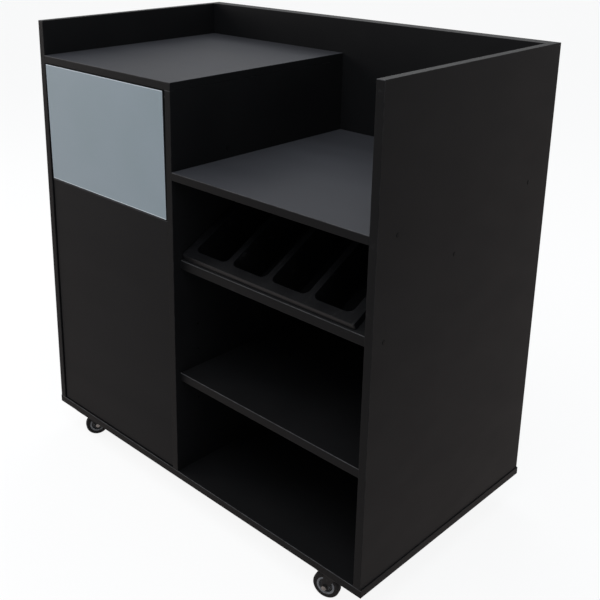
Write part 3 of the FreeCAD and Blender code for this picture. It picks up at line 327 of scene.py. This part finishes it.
def moulded_tray():
    """Black moulded plastic: fine spark-eroded grain, handling scratches in the pockets, pale scuffs."""
    finish = Finish("moulded tray plastic", Specular_IOR_Level=0.10)
    grain = finish.cells(1300, "SMOOTH_F1")
    fine = finish.noise(2400, 2.0, 0.6)
    clouds = finish.noise(14, 4.0, 0.55)
    scratches = finish.noise(70, 2.0, 0.8, stretch=(9.0, 0.35, 0.8)).ramp(0.63, 0.70)
    crossing = finish.noise(60, 2.0, 0.8, stretch=(0.5, 5.0, 5.0)).ramp(0.66, 0.72)
    marks = scratches.high(crossing * 0.7)
    colour = finish.blend(clouds.ramp(0.3, 0.7), TRAY_DARK, TRAY_LIGHT)
    colour = finish.blend(marks * 0.35, colour, TRAY_SCUFF)
    roughness = 0.36 + clouds.swing(0.14) + grain.swing(0.05) + marks * 0.12
    finish.relief((grain, 40 * MICRON), (fine, 10 * MICRON), (marks, -30 * MICRON))
    return finish.surface(Base_Color=colour, Roughness=roughness)


def sheet_edge_highlight_paint(finish, low, high):
    """1 along the painted highlight on the facing sheet's edges, strongest at its lower edge."""
    from_side = (finish.axis(0) - low[0]).low(high[0] - finish.axis(0))
    from_top = high[2] - finish.axis(2)
    from_bottom = finish.axis(2) - low[2]
    sides = from_side.ramp(*SHEET_SIDES) * 0.35
    top = from_top.ramp(*SHEET_TOP) * 0.6
    return sides.high(top).high(from_bottom.ramp(*SHEET_FOOT))


def grey_sheet(low, high):
    """Satin grey facing sheet: very fine texture, soft cloudy sheen, painted highlights on its edges."""
    finish = Finish("grey satin facing", Specular_IOR_Level=0.35)
    fine = finish.noise(1900, 3.0, 0.65)
    weave = finish.noise(420, 2.0, 0.6)
    clouds = finish.noise(7.0, 4.0, 0.55)
    smears = finish.noise(10, 3.0, 0.6, stretch=(0.8, 1.0, 2.4))
    edge_highlight = sheet_edge_highlight_paint(finish, low, high)
    colour = finish.blend(clouds.ramp(0.25, 0.75), SHEET_GREY, SHEET_PALE)
    colour = finish.blend((fine - 0.5).size() * 0.5, colour, SHEET_PIT)
    # Painted highlight: the edges are lightened, most at the lower edge, standing in for the light they
    # catch.
    colour = finish.blend(edge_highlight, colour, SHEET_EDGE_HIGHLIGHT_PAINT)
    roughness = 0.42 + smears.swing(0.10) + weave.swing(0.10)
    finish.relief((fine, 30 * MICRON), (weave, 50 * MICRON))
    return finish.surface(Base_Color=colour, Roughness=roughness)


def black_paint(name, low, high):
    """Sprayed black board: orange-peel paint over fine board fibre, rubbed along the edges."""
    finish = Finish(name, Specular_IOR_Level=0.2)
    peel = finish.noise(260, 2.0, 0.5)
    fibre = finish.noise(700, 3.0, 0.7, stretch=(0.4, 1.0, 1.0))
    rub = wear_along_edges(finish, low, high, PAINT_RUB) * finish.noise(55, 3.0, 0.6).ramp(0.45, 0.7)
    colour = finish.blend(fibre, PAINT_DARK, PAINT_LIGHT)
    colour = finish.blend(rub * 0.5, colour, PAINT_RUBBED)
    roughness = 0.44 + peel.swing(0.16) + fibre.swing(0.10)
    finish.relief((peel, 60 * MICRON), (fibre, 30 * MICRON))
    return finish.surface(Base_Color=colour, Roughness=roughness)


def zinc_steel(name, tone, tint):
    """Zinc-plated steel: spangled tone, fine turning lines and dull patches."""
    finish = Finish(name, Metallic=1.0)
    spangle = finish.cells(260)
    lines = finish.noise(900, 2.0, 0.6, stretch=(1.0, 1.0, 0.15))
    dull = finish.noise(45, 4.0, 0.6).ramp(0.5, 0.72)
    light = (tone, tone * tint[0], tone * tint[1])
    shade = tuple(part * 0.72 for part in light)
    tarnish = (tone * 0.42, tone * 0.40, tone * 0.37)
    colour = finish.blend(spangle, shade, light)
    colour = finish.blend(dull * 0.55, colour, tarnish)
    roughness = 0.24 + lines.swing(0.14) + dull * 0.22
    finish.relief((lines, 30 * MICRON), (spangle, 20 * MICRON))
    return finish.surface(Base_Color=colour, Roughness=roughness)


def coated_fork():
    """Black-coated pressed steel of the castor forks and plates, scuffed grey on its rims."""
    finish = Finish("black coated steel", Specular_IOR_Level=0.12)
    peel = finish.noise(420, 2.0, 0.55)
    scuff = finish.noise(95, 4.0, 0.7).ramp(0.58, 0.70)
    grime = finish.noise(30, 3.0, 0.5)
    colour = finish.blend(grime.ramp(0.3, 0.7), FORK_DARK, FORK_LIGHT)
    colour = finish.blend(scuff * 0.35, colour, FORK_SCUFF)
    roughness = 0.38 + peel.swing(0.15) + scuff * 0.10 + grime.swing(0.18)
    finish.relief((peel, 50 * MICRON), (scuff, -40 * MICRON))
    return finish.surface(Base_Color=colour, Roughness=roughness)


def distance_from_axle(finish, centre, axle):
    """Distance of a surface point from the axle line, in metres."""
    away = finish.node("ShaderNodeVectorMath", {"operation": "SUBTRACT"}, [finish.coordinates, centre])
    across = finish.node("ShaderNodeVectorMath", {"operation": "CROSS_PRODUCT"}, [away, axle])
    return finish.node("ShaderNodeVectorMath", {"operation": "LENGTH"}, [across], out="Value")


def wheel_plastic(name, centre, axle):
    """Pale grey wheel core with random grime, and painted shade in the dished web between the outer ring
    and the hub.
    """
    finish = Finish(name, Specular_IOR_Level=0.25)
    reach = distance_from_axle(finish, centre, axle)
    web = reach.ramp(*HUB_EDGE) * reach.ramp(*RIM_RING_EDGE)
    fine = finish.noise(1100, 3.0, 0.6)
    grime = finish.noise(120, 4.0, 0.65)
    colour = finish.blend(grime.ramp(0.45, 0.75), CORE_GREY, CORE_GRIMY)
    # Painted shade: the dished web is darkened, standing in for the shade in that recess.
    colour = finish.blend(web * (0.80 + grime.swing(0.4)), colour, CORE_WEB_PAINTED_SHADE)
    roughness = 0.32 + grime.swing(0.25) + web * 0.20 + fine.swing(0.06)
    finish.relief((fine, 20 * MICRON), (grime, 30 * MICRON))
    return finish.surface(Base_Color=colour, Roughness=roughness)


def tyre_rubber(name, centre, axle):
    """Black tyre: duller dusty tread, smoother side walls with fine moulding rings."""
    finish = Finish(name, Specular_IOR_Level=0.10)
    reach = distance_from_axle(finish, centre, axle)
    tread = reach.ramp(*TREAD_EDGE)
    rings = (reach * (2 * math.pi / MOULD_RING_PITCH)).sine()
    dust = finish.noise(210, 4.0, 0.7)
    specks = finish.noise(900, 2.0, 0.7).ramp(0.60, 0.70)
    colour = finish.blend(dust.ramp(0.4, 0.7), TYRE_DARK, TYRE_LIGHT)
    colour = finish.blend(tread * (0.20 + specks * 0.3), colour, TREAD_DUST)
    roughness = 0.52 + tread * 0.24 + dust.swing(0.2)
    finish.relief((dust, 50 * MICRON), (specks * tread, -80 * MICRON), (rings * (1 - tread), 50 * MICRON))
    return finish.surface(Base_Color=colour, Roughness=roughness)


def black_nylon(name, gloss):
    """Small black plastic fittings: moulded, slightly glossy, with sink marks."""
    finish = Finish(name, Specular_IOR_Level=gloss)
    fine = finish.noise(1400, 3.0, 0.6)
    sink = finish.noise(60, 2.0, 0.5)
    colour = finish.blend(sink.ramp(0.3, 0.7), NYLON_DARK, NYLON_LIGHT)
    roughness = 0.40 + sink.swing(0.16) + fine.swing(0.08)
    finish.relief((fine, 20 * MICRON), (sink, 80 * MICRON))
    return finish.surface(Base_Color=colour, Roughness=roughness)


def raw_beech():
    """Beech dowels: straight pale grain with short darker flecks."""
    finish = Finish("raw beech", Specular_IOR_Level=0.4)
    grain = finish.noise(240, 4.0, 0.6, stretch=(1.0, 1.0, 0.12))
    flecks = finish.noise(700, 2.0, 0.7, stretch=(1.0, 1.0, 0.25)).ramp(0.60, 0.68)
    colour = finish.blend(grain, BEECH_DARK, BEECH_LIGHT)
    colour = finish.blend(flecks * 0.7, colour, BEECH_FLECK)
    roughness = 0.62 + grain.swing(0.2)
    finish.relief((grain, 60 * MICRON), (flecks, -50 * MICRON))
    return finish.surface(Base_Color=colour, Roughness=roughness)


def spoken(name):
    return name.replace("_", " ")


def finish_node(name, finish):
    slots = nodes[name].data.materials
    slots.clear()
    slots.append(finish.material)


BOARDS = (
    "base_board", "left_side_panel", "right_side_panel", "divider_panel", "raised_top", "worktop",
    "inner_back_panel", "rear_cover_panel", "tray_shelf", "middle_shelf", "door_panel", "flap_stop_lath",
)
BANDS = (
    "base_board_edging", "left_side_edging", "right_side_edging", "divider_edging", "raised_top_edging",
    "worktop_edging", "tray_shelf_edging", "middle_shelf_edging", "door_edging",
)
STEEL = (
    "connector_screws", "wood_screws", "flap_stop_screws", "shelf_pins", "hinge_arms",
    "hinge_mounting_plates", "hinge_cup_screws", "hinge_cups", "latch_strike_disc", "castor_screws",
    "flap_pivot_pins",
)
NYLON = (
    "screw_caps", "flap_stop_screw_caps", "flap_stop_pegs", "flap_pivot_bushes", "push_latch_housing",
    "push_latch_plunger",
)
# Strength of the painted sheen on the top face of each of these boards.
TOPS_WITH_PAINTED_SHEEN = {"raised_top": 0.30, "worktop": 0.34}
CAP_GLOSS = 0.03
FITTING_GLOSS = 0.20
CORNERS = ("front_left", "front_right", "rear_left", "rear_right")

for name in BOARDS:
    top_sheen = TOPS_WITH_PAINTED_SHEEN.get(name, 0.0)
    finish_node(name, black_laminate(spoken(name) + " laminate", *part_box(name), top_sheen))
for name in BANDS:
    finish_node(name, black_edge_band(spoken(name) + " band", *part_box(name)))
steel = zinc_steel("zinc plated steel", ZINC_TONE, ZINC_TINT)
for name in STEEL:
    finish_node(name, steel)
for name in NYLON:
    gloss = CAP_GLOSS if "caps" in name else FITTING_GLOSS
    finish_node(name, black_nylon(spoken(name) + " nylon", gloss))
finish_node("cutlery_tray", moulded_tray())
finish_node("flap_facing_sheet", grey_sheet(*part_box("flap_facing_sheet")))
finish_node("flap_board", black_paint("flap board paint", *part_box("flap_board")))
finish_node("carcass_dowels", raw_beech())
coated = coated_fork()
finish_node("castor_plates", coated)
axle_steel = zinc_steel("dark axle steel", AXLE_TONE, AXLE_TINT)
for corner in CORNERS:
    low, high = (Vector(end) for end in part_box("wheel_tyre_" + corner))
    centre = (low + high) / 2
    swivel = next(joint for joint in frame["joints"] if joint["name"] == "swivel_" + corner)
    trail = centre - Vector(swivel["pos_m"])
    axle = Vector((-trail.y, trail.x, 0)).normalized()
    finish_node("castor_fork_" + corner, coated)
    finish_node("castor_axle_" + corner, axle_steel)
    finish_node("wheel_core_" + corner, wheel_plastic("wheel core " + corner, centre, axle))
    finish_node("wheel_tyre_" + corner, tyre_rubber("tyre " + corner, centre, axle))


def add_floor():
    """White floor, shown white to the camera and in polish, that keeps the object's soft shadow."""
    corners = [(x * FLOOR_REACH, y * FLOOR_REACH, 0) for x, y in ((-1, -1), (1, -1), (1, 1), (-1, 1))]
    mesh = bpy.data.meshes.new("floor")
    mesh.from_pydata(corners, [], [(0, 1, 2, 3)])
    floor = bpy.data.objects.new("floor", mesh)
    bpy.context.collection.objects.link(floor)
    finish = Finish("pale floor", Roughness=0.9, Base_Color=FLOOR_COLOUR)
    camera = finish.node("ShaderNodeLightPath", out="Is Camera Ray")
    glow_colour = finish.blend(camera, FLOOR_BOUNCE, WHITE)
    glow = finish.node("ShaderNodeEmission", {}, {"Color": glow_colour, "Strength": 1.0})
    share = finish.meets_white() * FLOOR_WHITENESS
    mixed = finish.node("ShaderNodeMixShader", {}, [share, finish.skin, glow])
    finish.feed(finish.out.inputs["Surface"], mixed)
    mesh.materials.append(finish.material)


def add_world():
    """Bluish sky light, shown white to the camera and in polish."""
    world = bpy.data.worlds.new("studio")
    bpy.context.scene.world = world
    world.use_nodes = True
    studio = Shading(world.node_tree)
    sky = studio.node("ShaderNodeBackground", {}, {"Color": SKY_TINT, "Strength": SKY_STRENGTH})
    white = studio.node("ShaderNodeBackground", {}, {"Color": WHITE, "Strength": 1.0})
    mixed = studio.node("ShaderNodeMixShader", {}, [studio.meets_white(), sky, white])
    studio.node("ShaderNodeOutputWorld", {}, {"Surface": mixed})


def add_lamp(name, place, size, watts, tint):
    lamp = bpy.data.lights.new(name, "AREA")
    lamp.shape = "RECTANGLE"
    lamp.size, lamp.size_y = size
    lamp.energy = watts
    lamp.color = tint
    holder = bpy.data.objects.new(name, lamp)
    holder.location = place
    holder.rotation_euler = (Vector(LAMP_AIM) - Vector(place)).to_track_quat("-Z", "Y").to_euler()
    bpy.context.collection.objects.link(holder)


def add_camera():
    lens = bpy.data.cameras.new("camera")
    lens.sensor_width = SENSOR
    lens.lens = FOCAL_PIXELS / PHOTO_SIZE * SENSOR
    lens.shift_x = (PHOTO_SIZE / 2 - AIM_PIXEL[0]) / PHOTO_SIZE
    lens.shift_y = (AIM_PIXEL[1] - PHOTO_SIZE / 2) / PHOTO_SIZE
    lens.clip_start = NEAREST
    holder = bpy.data.objects.new("camera", lens)
    holder.location = CAMERA_PLACE
    holder.rotation_euler = Euler([math.radians(turn) for turn in CAMERA_TURN])
    bpy.context.collection.objects.link(holder)
    bpy.context.scene.camera = holder


add_floor()
add_world()
for lamp in LAMPS:
    add_lamp(*lamp)
add_camera()

bpy.context.scene.view_settings.view_transform = "Standard"
